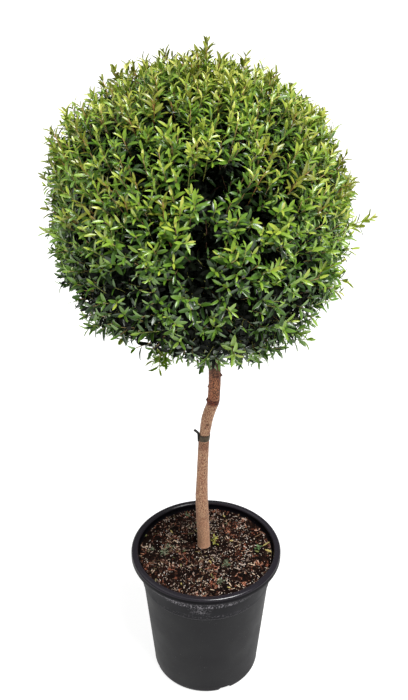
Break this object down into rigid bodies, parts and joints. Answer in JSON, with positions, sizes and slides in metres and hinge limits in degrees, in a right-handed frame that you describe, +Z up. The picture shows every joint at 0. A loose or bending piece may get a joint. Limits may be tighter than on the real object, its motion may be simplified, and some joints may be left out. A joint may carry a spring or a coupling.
{
  "type": "standard lollipop topiary",
  "caption": "Small-leaved evergreen myrtle grown as a standard: a clipped ball of foliage on one bare trunk, in a round black nursery pot of potting mix.",
  "frame": {"origin": "centre of the pot's flat underside, on the surface that the pot stands on", "axes": "+Z up along the pot and trunk, -Y towards the front, from where the trunk bends to +X"},
  "size_m": [0.5401, 0.5146, 1.2701],
  "materials": {
    "pot_plastic": "satin",
    "potting_mix": "matte",
    "bark": "matte",
    "tie_strap": "matte",
    "leaves": "satin"
  },
  "bodies": {
    "root": {"pot": "pot_plastic", "soil": "potting_mix", "trunk": "bark", "tie": "tie_strap", "bough_upper_right": "bark", "bough_upper_back": "bark", "bough_upper_left": "bark", "bough_upper_front": "bark", "bough_lower_back_right": "bark", "bough_lower_back_left": "bark", "bough_lower_front_left": "bark", "bough_lower_front_right": "bark", "foliage_top": "leaves", "foliage_upper_right": "leaves", "foliage_upper_back": "leaves", "foliage_upper_left": "leaves", "foliage_upper_front": "leaves", "foliage_lower_back_right": "leaves", "foliage_lower_back_left": "leaves", "foliage_lower_front_left": "leaves", "foliage_lower_front_right": "leaves"}
  },
  "joints": []
}
